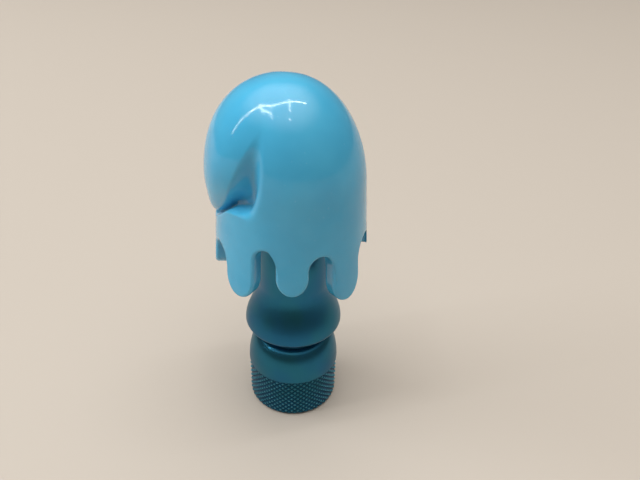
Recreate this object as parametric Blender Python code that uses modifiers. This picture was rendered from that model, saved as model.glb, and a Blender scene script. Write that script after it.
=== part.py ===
"""Art toy: a glossy dripping hood that turns on a lathe-turned, anodised metal handle.

Metres, +Z up. The origin is the middle of the foot's face, on the turning axis, and the
hood's brow points along -Y. Bearings round the axis are measured from -Y towards +X.
"""

import math

import bmesh
import bpy
import numpy as np

MM = 0.001

# Clearances
GAP = 0.3 * MM                    # between neighbouring pieces

# Handle: heights above the table, radii about the turning axis
BASE_RADIUS = 12.4 * MM
BASE_TOP = 12.2 * MM              # where the knurled cap meets the handle
WAIST_RADIUS = 7.4 * MM
WAIST_HEIGHT = 19.4 * MM
BULGE_RADIUS = 12.9 * MM
BULGE_HEIGHT = 26.6 * MM
NECK_RADIUS = 9.1 * MM
NECK_START = 38.4 * MM
NECK_TOP = 60.0 * MM
EDGE_CHAMFER = 0.5 * MM
SEAM_CHAMFER = 0.15 * MM          # on both edges where the cap meets the handle

# Foot and cap
FOOT_THICKNESS = 1.5 * MM
FOOT_STAND_OFF = 0.4 * MM         # how far the foot stands below the cap
FOOT_RIM = 2.1 * MM               # of the cap, round the foot
CAP_FLOOR = 2.0 * MM
SEAT_WASHER_THICKNESS = 0.8 * MM
SEAT_WASHER_HOLE = 4.0 * MM

# Threaded stud under the handle, drawn at its full diameter
STUD_RADIUS = 8.0 * MM
SEAL_SECTION = 0.65 * MM          # radius of the ring's round section
SEAL_BELOW_SEAM = 1.9 * MM

# Swivel at the top of the handle
POST_RADIUS = 5.0 * MM
POST_LENGTH = 15.0 * MM
DRAG_RING_SECTION = 0.5 * MM
DRAG_RING_ABOVE_NECK = 8.0 * MM
THRUST_WASHER_THICKNESS = 1.0 * MM
BUSH_WALL = 1.5 * MM
BUSH_FLANGE_RADIUS = 8.0 * MM
BUSH_FLANGE_THICKNESS = 1.2 * MM
CORE_WALL = 2.6 * MM              # round the bush's flange
CORE_TOP = 21.0 * MM              # above NECK_TOP
CORE_FLANGE_HEIGHT = 11.5 * MM    # above NECK_TOP
CORE_FLANGE_THICKNESS = 2.4 * MM
CORE_FLANGE_CLEARANCE = 0.15 * MM  # inside the hood's wall where the crease is deepest
SCREW_RADIUS = 2.0 * MM
SCREW_LENGTH = 10.0 * MM
SCREW_HEAD_RADIUS = 3.6 * MM
SCREW_HEAD_HEIGHT = 2.6 * MM
SCREW_SOCKET_FLATS = 2.5 * MM
SCREW_SOCKET_DEPTH = 1.4 * MM
SCREW_WASHER_THICKNESS = 1.0 * MM

# Hood: a superellipse dome over a slightly flared skirt. The heights of the hood, its brow
# and its hem are measured from NECK_TOP.
HOOD_TOP = 32.1 * MM
HOOD_RADIUS = 17.85 * MM
HOOD_SHOULDER = 6.8 * MM          # height where the dome meets the skirt
HOOD_ROUNDNESS = 2.2              # exponent of the superellipse
HOOD_FLARE = 0.065                # radius gained per unit of drop down the skirt
HOOD_WALL = 2.4 * MM
SKIRT_FORWARD = 0.55 * MM         # how far the skirt's middle lies towards the brow
CROWN_LEAN = 1.4 * MM             # how much further the crown leans that way
CROWN_LEAN_FROM = 3.5 * MM

# Brow: a rounded lobe over a crease that climbs round each side. Between bearings
# CREASE_SPAN the lobe's edge climbs from LIP_HEIGHT by LIP_CLIMB, and the crease hangs
# below that edge, most of all at POCKET_BEARING, where it makes a leaf-shaped pocket.
LIP_HEIGHT = 0.4 * MM
LIP_CLIMB = 21.0 * MM
CREASE_SPAN = (15.0, 95.0)
CLIMB_POWER = 1.15
POCKET_BEARING = 70.0
POCKET_SPREAD = 12.0              # in degrees
POCKET_HANG = 8.6 * MM
CREASE_DEPTH = 2.4 * MM           # below the plain hood
CREASE_START = (6.0, 48.0)        # bearings over which the crease deepens from nothing
CREASE_FADE = (78.0, 104.0)
CREASE_LIP = 1.5 * MM             # width of the soft edge below the crease
LOBE_SWELL = 2.35 * MM            # how far the lobe stands out of the plain hood
LOBE_HEIGHT = 11.5 * MM           # from its edge up to its fullest
LOBE_ROUNDNESS = 2.2
LOBE_FADE = (50.0, 108.0)         # bearings over which the lobe dies into the side

# Drips round the hem: bearing of the middle, half the width, height of the tip
DRIPS = (
    (12.0, 4.7 * MM, -15.4 * MM),
    (62.2, 4.4 * MM, -16.2 * MM),
    (103.8, 3.8 * MM, -13.2 * MM),
    (148.2, 4.5 * MM, -17.7 * MM),
    (199.0, 4.5 * MM, -10.4 * MM),
    (242.5, 4.3 * MM, -15.5 * MM),
    (285.5, 4.0 * MM, -14.0 * MM),
    (328.5, 4.4 * MM, -16.8 * MM),
)
# Height of the top of the arch that follows each drip
ARCHES = (
    -5.2 * MM,
    -1.8 * MM,
    -3.4 * MM,
    -4.0 * MM,
    -3.0 * MM,
    -4.5 * MM,
    -2.5 * MM,
    -4.4 * MM,
)
TIP_STRETCH = 1.25                # height of a drip's rounded end over half its width
ARCH_STRETCH = 1.2
BAND_ABOVE_ARCHES = 1.0 * MM       # where the columns start to swing to their places on the hem
LIP_ZONE = (7.0 * MM, 3.0 * MM)   # rows are gathered this far above and below the crease

TURN_STEPS = 48                   # facets round an outer piece
INNER_STEPS = 32                  # and round one hidden inside
HOOD_COLUMNS = 96
CROWN_ROWS = 4                    # from the crown to the top of the lip's zone
LIP_ROWS = 5                      # across the lip and the pocket
SKIRT_ROWS = 1                    # down to the level of the arches
HEM_ROWS = 3                      # down to the hem


def clear_scene():
    for obj in list(bpy.data.objects):
        bpy.data.objects.remove(obj)


def new_collection(name, hidden=False):
    collection = bpy.data.collections.new(name)
    collection.hide_render = hidden
    bpy.context.scene.collection.children.link(collection)
    return collection


def principled(name, color, roughness, metallic=0.0):
    made = bpy.data.materials.new(name)
    made.use_nodes = True
    shader = made.node_tree.nodes["Principled BSDF"]
    shader.inputs["Base Color"].default_value = (*color, 1.0)
    shader.inputs["Roughness"].default_value = roughness
    shader.inputs["Metallic"].default_value = metallic
    return made


def add_object(name, mesh, collection, finish, parent=None):
    obj = bpy.data.objects.new(name, mesh)
    collection.objects.link(obj)
    mesh.materials.append(finish)
    obj.parent = parent
    return obj


def shade_round(mesh, angle=35.0):
    mesh.shade_smooth()
    mesh.set_sharp_from_angle(angle=math.radians(angle))


def turned(name, profile, collection, finish, parent=None, closed=False, steps=TURN_STEPS):
    """A profile of (radius, height) points turned about Z. It runs down the outer side.

    An open profile starts and ends on the axis, and a closed one makes a ring.
    """
    mesh = bpy.data.meshes.new(name)
    count = len(profile)
    edges = [(i, i + 1) for i in range(count - 1)]
    if closed:
        edges.append((count - 1, 0))
    mesh.from_pydata([(radius, 0.0, height) for radius, height in profile], edges, [])
    obj = add_object(name, mesh, collection, finish, parent)
    screw = obj.modifiers.new("Turn", "SCREW")
    screw.axis = "Z"
    screw.steps = steps
    screw.render_steps = steps
    screw.use_merge_vertices = True
    screw.merge_threshold = 0.00001
    screw.use_smooth_shade = True
    return obj


def disc(radius, bottom, top):
    """A plain disc's profile, from the axis at the top to the axis at the bottom."""
    return [(0.0, top), (radius, top), (radius, bottom), (0.0, bottom)]


def ring_section(inner, outer, bottom, top):
    """A plain washer's section."""
    return [(outer, top), (outer, bottom), (inner, bottom), (inner, top)]


def eased(start, end, steps):
    """(radius, height) points from start to end on an S-curve that leaves both along Z."""
    t = np.linspace(0.0, 1.0, steps + 1)
    blend = t * t * (3.0 - 2.0 * t)
    radius = start[0] + (end[0] - start[0]) * blend
    height = start[1] + (end[1] - start[1]) * t
    return list(zip(radius.tolist(), height.tolist()))


def groove(radius, height, section):
    """Points of a square groove that clears a round ring lying flush with the surface."""
    depth = 2.0 * section + GAP
    half = section + GAP
    return [
        (radius, height + half),
        (radius - depth, height + half),
        (radius - depth, height - half),
        (radius, height - half),
    ]


def domed(start, end, steps):
    """(radius, height) points down a quarter ellipse that ends along Z."""
    turn = np.linspace(0.0, math.pi / 2.0, steps + 1)
    radius = start[0] + (end[0] - start[0]) * np.sin(turn)
    height = end[1] + (start[1] - end[1]) * np.cos(turn)
    return list(zip(radius.tolist(), height.tolist()))


def ring(name, radius, section, height, collection, finish, parent=None):
    """A round-section ring, such as an O-ring."""
    bpy.ops.mesh.primitive_torus_add(
        location=(0.0, 0.0, height),
        major_radius=radius,
        minor_radius=section,
        major_segments=INNER_STEPS,
        minor_segments=8,
    )
    obj = bpy.context.object
    obj.name = name
    for owner in list(obj.users_collection):
        owner.objects.unlink(obj)
    collection.objects.link(obj)
    obj.data.materials.append(finish)
    obj.data.shade_smooth()
    obj.parent = parent
    return obj


def turning_empty(name, collection, parent):
    """An empty on the turning axis, for the pieces that move together."""
    empty = bpy.data.objects.new(name, None)
    empty.empty_display_size = 0.01
    collection.objects.link(empty)
    empty.parent = parent
    return empty


def hex_cutter(name, mouth, collection, finish):
    """A hexagonal prism that sinks a screw's socket from its mouth."""
    depth = SCREW_SOCKET_DEPTH + GAP
    bm = bmesh.new()
    bmesh.ops.create_cone(
        bm,
        cap_ends=True,
        segments=6,
        radius1=SCREW_SOCKET_FLATS / math.sqrt(3.0),
        radius2=SCREW_SOCKET_FLATS / math.sqrt(3.0),
        depth=depth,
    )
    mesh = bpy.data.meshes.new(name)
    bm.to_mesh(mesh)
    bm.free()
    cutter = add_object(name, mesh, collection, finish)
    cutter.location = (0.0, 0.0, mouth - SCREW_SOCKET_DEPTH + depth / 2.0)
    cutter.hide_render = True
    cutter.display_type = "WIRE"
    return cutter


def cut(obj, cutter):
    boolean = obj.modifiers.new("Cut " + cutter.name, "BOOLEAN")
    boolean.operation = "DIFFERENCE"
    boolean.object = cutter


def smooth(values):
    """0 below 0, 1 above 1, and an S-curve between."""
    t = np.clip(values, 0.0, 1.0)
    return t * t * (3.0 - 2.0 * t)


def hood_meridian():
    """Radius and height down the plain hood, finely, with the distance from the crown."""
    lowest = min(tip for _, _, tip in DRIPS)
    turn = np.linspace(0.0, math.pi / 2.0, 300)
    power = 2.0 / HOOD_ROUNDNESS
    height = HOOD_SHOULDER + (HOOD_TOP - HOOD_SHOULDER) * np.cos(turn) ** power
    radius = HOOD_RADIUS * np.sin(turn) ** power
    drop = np.linspace(0.0, HOOD_SHOULDER - lowest + 0.01, 200)[1:]
    radius = np.concatenate([radius, HOOD_RADIUS + HOOD_FLARE * drop])
    height = np.concatenate([height, HOOD_SHOULDER - drop])
    length = np.concatenate([[0.0], np.cumsum(np.hypot(np.diff(radius), np.diff(height)))])
    return radius, height, length


def hood_edge():
    """Bearings (radians) and heights along the hem: rounded tips, straight sides, arches.

    The hem is walked once round in equal steps of its own length, HOOD_COLUMNS of them.
    """
    skirt = HOOD_RADIUS + HOOD_FLARE * (HOOD_SHOULDER - ARCHES[0])
    sweep = np.linspace(-math.pi / 2.0, math.pi / 2.0, 40)
    along, height = [], []
    for index, (middle, half, tip) in enumerate(DRIPS):
        after, after_half, _ = DRIPS[(index + 1) % len(DRIPS)]
        if after < middle:
            after += 360.0
        left = math.radians(middle) * skirt + half
        right = math.radians(after) * skirt - after_half
        opening = (right - left) / 2.0
        tip_height = TIP_STRETCH * half
        arch_height = ARCH_STRETCH * opening
        along += [left - half + half * np.sin(sweep), left + opening + opening * np.sin(sweep)]
        height += [
            tip + tip_height - tip_height * np.cos(sweep),
            ARCHES[index] - arch_height + arch_height * np.cos(sweep),
        ]
    along = np.concatenate(along)
    height = np.concatenate(height)
    along = np.append(along, along[0] + 2.0 * math.pi * skirt)
    height = np.append(height, height[0])
    walked = np.concatenate([[0.0], np.cumsum(np.hypot(np.diff(along), np.diff(height)))])
    stops = np.linspace(0.0, walked[-1], HOOD_COLUMNS, endpoint=False)
    return np.interp(stops, walked, along) / skirt, np.interp(stops, walked, height)


def round_from_front(bearing):
    """How far round from the front, either way, in degrees."""
    return np.abs((np.degrees(bearing) + 180.0) % 360.0 - 180.0)


def between(value, limits):
    """0 at the first limit, 1 at the second, and an S-curve between."""
    return smooth((value - limits[0]) / (limits[1] - limits[0]))


def crease(side):
    """Height of the crease, and how far it hangs below the lobe's edge."""
    share = np.clip((side - CREASE_SPAN[0]) / (CREASE_SPAN[1] - CREASE_SPAN[0]), 0.0, 1.0)
    edge = LIP_HEIGHT + LIP_CLIMB * smooth(share**CLIMB_POWER)
    hang = POCKET_HANG * np.exp(-0.5 * ((side - POCKET_BEARING) / POCKET_SPREAD) ** 2)
    return edge - hang, hang


def shaped(bearing, radius, height, swell):
    """Points of the plain hood moved out over the lobe and in along the crease.

    The lobe's section is a quarter of a superellipse that starts in the crease. Below
    the crease the surface comes back out over CREASE_LIP, measured across the crease.
    """
    side = round_from_front(bearing)
    crease_height, hang = crease(side)
    climb = (crease(side + 0.5)[0] - crease(side - 0.5)[0]) / (math.radians(1.0) * HOOD_RADIUS)
    above = height - crease_height
    rise = 1.0 - np.clip(above / (hang + LOBE_HEIGHT), 0.0, 1.0)
    rise = (1.0 - rise**LOBE_ROUNDNESS) ** (1.0 / LOBE_ROUNDNESS)
    lobe = swell * np.clip(radius / HOOD_RADIUS, 0.0, 1.0) * (1.0 - between(side, LOBE_FADE))
    depth = CREASE_DEPTH * between(side, CREASE_START) * (1.0 - between(side, CREASE_FADE))
    below = smooth(-above / np.sqrt(1.0 + climb**2) / CREASE_LIP)
    moved = radius + np.where(above > 0.0, (lobe + depth) * rise - depth, depth * (below - 1.0))
    lean = SKIRT_FORWARD + CROWN_LEAN * between(height, (CROWN_LEAN_FROM, HOOD_TOP))
    across = moved * np.sin(bearing)
    back = -moved * np.cos(bearing) - lean
    return np.stack([across, back, height + NECK_TOP], -1)


def spread(start, end, count):
    """Rows of distances that run from start to end, without start itself."""
    share = np.linspace(0.0, 1.0, count + 1)[1:, None]
    return start + share * (end - start)


def hood_skin(inset):
    """Rows of points from the crown to the hem, without the crown's own point.

    Each column comes down a meridian, with rows gathered across the lip, to the level of
    the arches, then swings to its own place on the hem. The inner skin lies inset inside
    the plain hood and follows the pockets alone, so the lobe is thicker than the rest.
    """
    radius, height, length = hood_meridian()
    slope = np.gradient(height, length)
    outward = np.gradient(radius, length)
    edge_bearing, edge_height = hood_edge()
    columns = np.linspace(0.0, 2.0 * math.pi, HOOD_COLUMNS, endpoint=False) + edge_bearing[0]
    band = np.interp(-(max(ARCHES) + BAND_ABOVE_ARCHES), -height, length)
    lowest = np.interp(-crease(round_from_front(columns))[0], -height, length)
    lip_top = np.clip(lowest - LIP_ZONE[0], 0.3 * band, band - LIP_ZONE[0] - 4.0 * MM)
    lip_end = np.clip(lowest + LIP_ZONE[1], 0.5 * band, band - 1.0 * MM)
    hem = np.interp(-edge_height, -height, length)
    travelled = np.concatenate(
        [
            spread(0.0, lip_top, CROWN_ROWS),
            spread(lip_top, lip_end, LIP_ROWS),
            spread(lip_end, np.full(HOOD_COLUMNS, band), SKIRT_ROWS),
            spread(np.full(HOOD_COLUMNS, band), hem, HEM_ROWS),
        ]
    )
    rows_above = CROWN_ROWS + LIP_ROWS + SKIRT_ROWS
    swing = np.concatenate([np.zeros((rows_above, 1)), smooth(spread(0.0, 1.0, HEM_ROWS))])
    bearing = columns + swing * (edge_bearing - columns)
    at_radius = np.interp(travelled, length, np.maximum(radius + inset * slope, 0.0))
    at_height = np.interp(travelled, length, height - inset * outward)
    swell = LOBE_SWELL if inset == 0.0 else 0.0
    return shaped(bearing, at_radius, at_height, swell)


def build_hood(collection, finish, parent):
    """Outer and inner skins lofted row by row, closed at both crowns and along the hem."""
    outer = hood_skin(0.0)
    inner = hood_skin(HOOD_WALL)
    rows = np.concatenate([outer, inner[::-1]])
    crown = -SKIRT_FORWARD - CROWN_LEAN
    top = (0.0, crown, NECK_TOP + HOOD_TOP)
    under_top = (0.0, crown, NECK_TOP + HOOD_TOP - HOOD_WALL)
    bm = bmesh.new()
    first = bm.verts.new(top)
    grid = [[bm.verts.new(point) for point in row] for row in rows.tolist()]
    last = bm.verts.new(under_top)
    for column in range(HOOD_COLUMNS):
        after = (column + 1) % HOOD_COLUMNS
        bm.faces.new((first, grid[0][column], grid[0][after]))
        bm.faces.new((last, grid[-1][after], grid[-1][column]))
        for above, below in zip(grid[:-1], grid[1:]):
            bm.faces.new((above[column], below[column], below[after], above[after]))
    mesh = bpy.data.meshes.new("head_shell")
    bm.to_mesh(mesh)
    bm.free()
    shade_round(mesh, 50.0)
    return add_object("head_shell", mesh, collection, finish, parent)


def main():
    clear_scene()
    toy = new_collection("dripping_hood_toy")
    cutters = new_collection("cutters", hidden=True)

    vinyl = principled("gloss_vinyl", (0.13, 0.40, 0.60), 0.15)
    anodised = principled("teal_anodised", (0.02, 0.13, 0.18), 0.35, 1.0)
    steel = principled("stainless_steel", (0.55, 0.55, 0.55), 0.30, 1.0)
    acetal = principled("natural_acetal", (0.75, 0.74, 0.70), 0.45)
    rubber = principled("black_rubber", (0.02, 0.02, 0.02), 0.80)
    moulded = principled("moulded_core", (0.09, 0.27, 0.40), 0.50)

    # Heights that follow from the stack of pieces
    cap_bottom = FOOT_STAND_OFF
    recess_radius = BASE_RADIUS - FOOT_RIM
    recess_top = FOOT_THICKNESS + GAP
    floor_top = recess_top + CAP_FLOOR
    seat_bottom = floor_top + GAP
    stud_bottom = seat_bottom + SEAT_WASHER_THICKNESS + GAP
    seam = BASE_TOP + GAP
    cup_radius = STUD_RADIUS + GAP
    seal_height = BASE_TOP - SEAL_BELOW_SEAM
    post_top = NECK_TOP + POST_LENGTH
    thrust_bottom = NECK_TOP + GAP
    thrust_top = thrust_bottom + THRUST_WASHER_THICKNESS
    swivel_bottom = thrust_top + GAP
    flange_top = swivel_bottom + BUSH_FLANGE_THICKNESS
    bush_bore = POST_RADIUS + GAP
    bush_radius = bush_bore + BUSH_WALL
    bush_top = post_top - GAP
    core_bore = bush_radius + GAP
    core_radius = BUSH_FLANGE_RADIUS + GAP + CORE_WALL
    screw_washer_bottom = post_top + GAP
    screw_washer_top = screw_washer_bottom + SCREW_WASHER_THICKNESS
    screw_head_bottom = screw_washer_top + GAP
    screw_head_top = screw_head_bottom + SCREW_HEAD_HEIGHT
    screw_hole = SCREW_RADIUS + GAP
    screw_tip = screw_head_bottom - SCREW_LENGTH
    drag_height = NECK_TOP + DRAG_RING_ABOVE_NECK

    # Empties on the turning axis carry the pieces that move together
    seat = turning_empty("seat_pivot", toy, None)
    handle = turning_empty("handle_pivot", toy, seat)
    head = turning_empty("head_pivot", toy, handle)

    # The standing base
    turned("foot_pad", disc(recess_radius - GAP, 0.0, FOOT_THICKNESS), toy, rubber)
    turned(
        "base_cap",
        [
            (0.0, floor_top),
            (cup_radius, floor_top),
            (cup_radius, BASE_TOP),
            (BASE_RADIUS - SEAM_CHAMFER, BASE_TOP),
            (BASE_RADIUS, BASE_TOP - SEAM_CHAMFER),
            (BASE_RADIUS, cap_bottom + EDGE_CHAMFER),
            (BASE_RADIUS - EDGE_CHAMFER, cap_bottom),
            (recess_radius, cap_bottom),
            (recess_radius, recess_top),
            (0.0, recess_top),
        ],
        toy,
        anodised,
    )
    seat_top = seat_bottom + SEAT_WASHER_THICKNESS
    turned(
        "seat_washer",
        ring_section(SEAT_WASHER_HOLE, STUD_RADIUS, seat_bottom, seat_top),
        toy,
        acetal,
        seat,
        closed=True,
        steps=INNER_STEPS,
    )

    # The handle, from the screw's hole over the outside to the stud's end
    waist = (WAIST_RADIUS, WAIST_HEIGHT)
    bulge = (BULGE_RADIUS, BULGE_HEIGHT)
    neck = (NECK_RADIUS, NECK_START)
    shoulder = (BASE_RADIUS, seam + SEAM_CHAMFER)
    handle_profile = [
        (0.0, screw_tip - GAP),
        (screw_hole, screw_tip - GAP),
        (screw_hole, post_top),
        (POST_RADIUS, post_top),
        *groove(POST_RADIUS, drag_height, DRAG_RING_SECTION),
        (POST_RADIUS, NECK_TOP),
        (NECK_RADIUS - EDGE_CHAMFER, NECK_TOP),
        (NECK_RADIUS, NECK_TOP - EDGE_CHAMFER),
        *eased(neck, bulge, 7),
        *eased(bulge, waist, 5)[1:],
        *domed(waist, shoulder, 7)[1:],
        (BASE_RADIUS - SEAM_CHAMFER, seam),
        (STUD_RADIUS, seam),
        *groove(STUD_RADIUS, seal_height, SEAL_SECTION),
        (STUD_RADIUS, stud_bottom + EDGE_CHAMFER),
        (STUD_RADIUS - EDGE_CHAMFER, stud_bottom),
        (0.0, stud_bottom),
    ]
    turned("handle_body", handle_profile, toy, anodised, handle)
    seal_radius = STUD_RADIUS - SEAL_SECTION
    ring("stud_seal", seal_radius, SEAL_SECTION, seal_height, toy, rubber, handle)
    drag_radius = POST_RADIUS - DRAG_RING_SECTION
    ring("drag_ring", drag_radius, DRAG_RING_SECTION, drag_height, toy, rubber, handle)
    turned(
        "thrust_washer",
        ring_section(bush_bore, NECK_RADIUS - EDGE_CHAMFER, thrust_bottom, thrust_top),
        toy,
        acetal,
        handle,
        closed=True,
        steps=INNER_STEPS,
    )
    turned(
        "retaining_washer",
        ring_section(screw_hole, bush_radius, screw_washer_bottom, screw_washer_top),
        toy,
        steel,
        handle,
        closed=True,
        steps=INNER_STEPS,
    )
    screw = turned(
        "pivot_screw",
        [
            (0.0, screw_head_top),
            (SCREW_HEAD_RADIUS - EDGE_CHAMFER, screw_head_top),
            (SCREW_HEAD_RADIUS, screw_head_top - EDGE_CHAMFER),
            (SCREW_HEAD_RADIUS, screw_head_bottom),
            (SCREW_RADIUS, screw_head_bottom),
            (SCREW_RADIUS, screw_tip),
            (0.0, screw_tip),
        ],
        toy,
        steel,
        handle,
        steps=24,
    )
    cut(screw, hex_cutter("pivot_screw_socket", screw_head_top, cutters, steel))

    # What turns with the hood
    turned(
        "swivel_bush",
        [
            (bush_radius, bush_top),
            (bush_radius, flange_top),
            (BUSH_FLANGE_RADIUS, flange_top),
            (BUSH_FLANGE_RADIUS, swivel_bottom),
            (bush_bore, swivel_bottom),
            (bush_bore, bush_top),
        ],
        toy,
        acetal,
        head,
        closed=True,
        steps=INNER_STEPS,
    )
    seat_for_flange = flange_top + GAP
    core_top = NECK_TOP + CORE_TOP
    flange_bottom = NECK_TOP + CORE_FLANGE_HEIGHT
    flange_radius = HOOD_RADIUS - HOOD_WALL - CREASE_DEPTH - CORE_FLANGE_CLEARANCE
    turned(
        "head_core",
        [
            (core_radius - 2.0 * EDGE_CHAMFER, core_top),
            (core_radius, core_top - 2.0 * EDGE_CHAMFER),
            (core_radius, flange_bottom + CORE_FLANGE_THICKNESS),
            (flange_radius, flange_bottom + CORE_FLANGE_THICKNESS),
            (flange_radius, flange_bottom),
            (core_radius, flange_bottom),
            (core_radius, swivel_bottom),
            (BUSH_FLANGE_RADIUS + GAP, swivel_bottom),
            (BUSH_FLANGE_RADIUS + GAP, seat_for_flange),
            (core_bore, seat_for_flange),
            (core_bore, core_top),
        ],
        toy,
        moulded,
        head,
        closed=True,
        steps=INNER_STEPS,
    )
    build_hood(toy, vinyl, head)


main()
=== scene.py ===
import math

import bpy
import numpy as np
from mathutils import Matrix, Vector


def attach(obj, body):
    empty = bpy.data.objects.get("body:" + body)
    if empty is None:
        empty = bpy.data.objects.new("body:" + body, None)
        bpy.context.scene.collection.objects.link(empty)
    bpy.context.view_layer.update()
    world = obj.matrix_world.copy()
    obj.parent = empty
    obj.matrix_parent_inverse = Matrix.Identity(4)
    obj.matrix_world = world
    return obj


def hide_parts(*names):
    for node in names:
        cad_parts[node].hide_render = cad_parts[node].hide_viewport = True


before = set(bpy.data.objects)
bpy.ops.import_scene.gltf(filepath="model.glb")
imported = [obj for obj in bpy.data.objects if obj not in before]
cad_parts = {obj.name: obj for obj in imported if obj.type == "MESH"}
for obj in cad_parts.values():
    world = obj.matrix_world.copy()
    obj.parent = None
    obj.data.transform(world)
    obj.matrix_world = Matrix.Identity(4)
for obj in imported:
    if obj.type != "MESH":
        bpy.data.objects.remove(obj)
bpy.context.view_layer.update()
print("frame loaded:", len(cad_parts), "nodes")

mm = 0.001
gap = 0.3 * mm  # clearance between neighbouring pieces
onSurface = 0.001 * mm  # a point this near to a radius lies on it


def gridObject(name, rows, closedSection=False, poles=(None, None)):
    # Skin over rows of points, each row once round the axis. Rows run down the outer
    # side, so faces point out. A pole is one point that closes the first or last row.
    rowCount, columnCount = rows.shape[:2]
    index = np.arange(rowCount * columnCount).reshape(rowCount, columnCount)
    if closedSection:
        index = np.concatenate([index, index[:1]])
    turned = np.roll(index, -1, axis=1)
    quads = np.stack([index[:-1], index[1:], turned[1:], turned[:-1]], -1)
    quads = quads.reshape(-1, 4)
    points = [rows.reshape(-1, 3)]
    fans = []
    extra = rowCount * columnCount
    if poles[0] is not None:
        points.append(np.array([poles[0]]))
        fans.append(np.stack([np.full(columnCount, extra), index[0], turned[0]], -1))
        extra += 1
    if poles[1] is not None:
        points.append(np.array([poles[1]]))
        fans.append(np.stack([np.full(columnCount, extra), turned[-1], index[-1]], -1))
    points = np.concatenate(points)
    # each quad is split along its lower diagonal, which keeps grooves crisp
    flat = points[quads]
    radius = np.hypot(flat[..., 0], flat[..., 1])
    first = (radius[:, 0] + radius[:, 2] <= radius[:, 1] + radius[:, 3])[:, None]
    split = np.where(
        first,
        quads[:, [0, 1, 2, 0, 2, 3]],
        quads[:, [1, 2, 3, 1, 3, 0]],
    ).reshape(-1, 3)
    faces = np.concatenate([split, *fans])
    mesh = bpy.data.meshes.new(name)
    mesh.vertices.add(len(points))
    mesh.vertices.foreach_set("co", points.astype(np.float32).ravel())
    mesh.loops.add(faces.size)
    mesh.loops.foreach_set("vertex_index", faces.astype(np.int32).ravel())
    mesh.polygons.add(len(faces))
    mesh.polygons.foreach_set("loop_start", np.arange(0, faces.size, 3, dtype=np.int32))
    mesh.update(calc_edges=True)
    mesh.shade_smooth()
    obj = bpy.data.objects.new(name, mesh)
    bpy.context.scene.collection.objects.link(obj)
    return obj


def turnedObject(name, section, columns, closedSection=False, relief=None):
    # A section of (radius, height) turned about Z: x = r cos a, y = r sin a. Relief is
    # taken off the radius and may differ round the turn. An open section starts and ends
    # on the axis, and is closed there by one point.
    section = np.asarray(section, float)
    angle = np.linspace(0.0, 2.0 * math.pi, columns, endpoint=False)
    start, end = 0, len(section)
    poles = [None, None]
    if not closedSection:
        poles = [(0.0, 0.0, section[0, 1]), (0.0, 0.0, section[-1, 1])]
        start, end = 1, len(section) - 1
    radius = np.repeat(section[start:end, :1], columns, axis=1)
    height = np.repeat(section[start:end, 1:], columns, axis=1)
    if relief is not None:
        radius = radius - relief(angle[None, :], radius, height)
    rows = np.stack([radius * np.cos(angle), radius * np.sin(angle), height], -1)
    return gridObject(name, rows, closedSection, poles)


def softCorners(corners, size, steps=4, closed=False):
    # Each corner of a polyline becomes a curve (1-t)^2 A + 2t(1-t) P + t^2 B, where A
    # and B lie the given size, or a share of the side if that is less, from corner P.
    sideShare = 0.45
    corners = np.asarray(corners, float)
    before = np.roll(corners, 1, axis=0) - corners
    after = np.roll(corners, -1, axis=0) - corners
    middle = slice(None) if closed else slice(1, -1)
    point, before, after = corners[middle], before[middle], after[middle]
    lengthBefore = np.linalg.norm(before, axis=1, keepdims=True)
    lengthAfter = np.linalg.norm(after, axis=1, keepdims=True)
    cutBefore = before / lengthBefore * np.minimum(size, sideShare * lengthBefore)
    cutAfter = after / lengthAfter * np.minimum(size, sideShare * lengthAfter)
    t = np.linspace(0.0, 1.0, steps + 1)[None, :, None]
    curve = (1.0 - t) ** 2 * cutBefore[:, None] + t**2 * cutAfter[:, None]
    curve = (point[:, None] + curve).reshape(-1, 2)
    return curve if closed else np.concatenate([corners[:1], curve, corners[-1:]])


def ringSection(inner, outer, bottom, top):
    return [(outer, top), (outer, bottom), (inner, bottom), (inner, top)]


def roundSection(radius, height, size, steps=20):
    # a circle of that size round (radius, height), down its outer side first
    turn = np.linspace(math.pi / 2.0, -1.5 * math.pi, steps, endpoint=False)
    return np.stack([radius + size * np.cos(turn), height + size * np.sin(turn)], -1)


def grooveCorners(radius, height, size):
    # a square groove that clears a round ring lying flush with the surface
    deep = radius - 2.0 * size - gap
    half = size + gap
    return [
        (radius, height + half),
        (deep, height + half),
        (deep, height - half),
        (radius, height - half),
    ]


def sCurve(start, end, steps):
    # (radius, height) from start to end: radius eases by t^2 (3 - 2t), height is even
    t = np.linspace(0.0, 1.0, steps + 1)
    radius = start[0] + (end[0] - start[0]) * smooth(t)
    return np.stack([radius, start[1] + (end[1] - start[1]) * t], -1)


def dome(start, end, steps):
    # a quarter of an ellipse that leaves start level and reaches end along Z
    turn = np.linspace(0.0, math.pi / 2.0, steps + 1)
    radius = start[0] + (end[0] - start[0]) * np.sin(turn)
    return np.stack([radius, end[1] + (start[1] - end[1]) * np.cos(turn)], -1)


def smooth(values):
    # t^2 (3 - 2t), held at 0 and 1 outside that span
    t = np.clip(values, 0.0, 1.0)
    return t * t * (3.0 - 2.0 * t)


def between(value, limits):
    # rises smoothly from 0 at the first limit to 1 at the second
    return smooth((value - limits[0]) / (limits[1] - limits[0]))


def threadCut(angle, height, pitch, depth, bottom, top):
    # V thread, right-handed: depth times the triangle wave of height / pitch less the
    # share of a turn, fading over half a pitch at both ends
    wave = (height / pitch - angle / (2.0 * math.pi)) % 1.0
    fade = between(height, (bottom, bottom + 0.5 * pitch))
    fade = fade * (1.0 - between(height, (top - 0.5 * pitch, top)))
    inside = (height >= bottom) & (height <= top)
    return depth * np.abs(2.0 * wave - 1.0) * fade * inside


def addPiece(obj, body, slotName, *nodes):
    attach(obj, body)
    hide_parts(*nodes)
    return obj


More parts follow.
